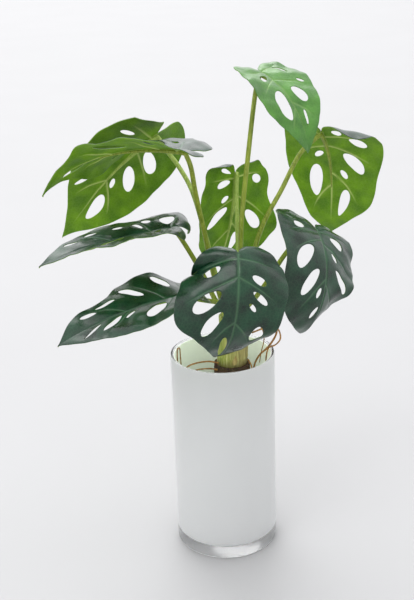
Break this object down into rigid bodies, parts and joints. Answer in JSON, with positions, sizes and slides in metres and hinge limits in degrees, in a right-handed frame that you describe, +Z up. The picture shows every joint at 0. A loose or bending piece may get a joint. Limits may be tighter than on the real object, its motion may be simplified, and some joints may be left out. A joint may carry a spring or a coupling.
{
  "type": "swiss cheese vine cutting in vase",
  "caption": "Leafy swiss cheese vine cutting with holed heart-shaped leaves on long stalks, standing in a straight cylinder vase of cased white glass.",
  "frame": {"origin": "middle of the vase's flat foot, on the surface it stands on", "axes": "+Z up along the vase's axis, +X to the right and -Y towards the front of the arrangement"},
  "size_m": [0.3211, 0.2312, 0.4659],
  "materials": {
    "clear_glass": "polished",
    "white_glass": "gloss",
    "soil": "matte",
    "green_bark": "satin",
    "dark_leaf": "satin",
    "bright_leaf": "satin",
    "leaf_underside": "matte",
    "stalk": "satin",
    "pale_stalk": "satin",
    "root": "matte"
  },
  "bodies": {
    "root": {"vase_clear_glass": "clear_glass", "vase_white_lining": "white_glass", "soil_clump": "soil", "trunk": "green_bark", "leaf_a": "bright_leaf", "leaf_b": "bright_leaf", "leaf_c": "bright_leaf", "leaf_d": "dark_leaf", "leaf_e": "dark_leaf", "leaf_f": "bright_leaf", "leaf_g": "dark_leaf", "leaf_h": "dark_leaf", "leaf_i": "dark_leaf", "stalk_a": "stalk", "stalk_b": "stalk", "stalk_c": "pale_stalk", "stalk_d": "stalk", "stalk_e": "stalk", "stalk_f": "pale_stalk", "stalk_g": "stalk", "stalk_h": "stalk", "stalk_i": "stalk", "root_left": "root", "root_left_lower": "root", "root_left_loop": "root", "root_right": "root", "root_right_outer": "root", "root_right_thin": "root", "root_front": "root"}
  },
  "joints": []
}
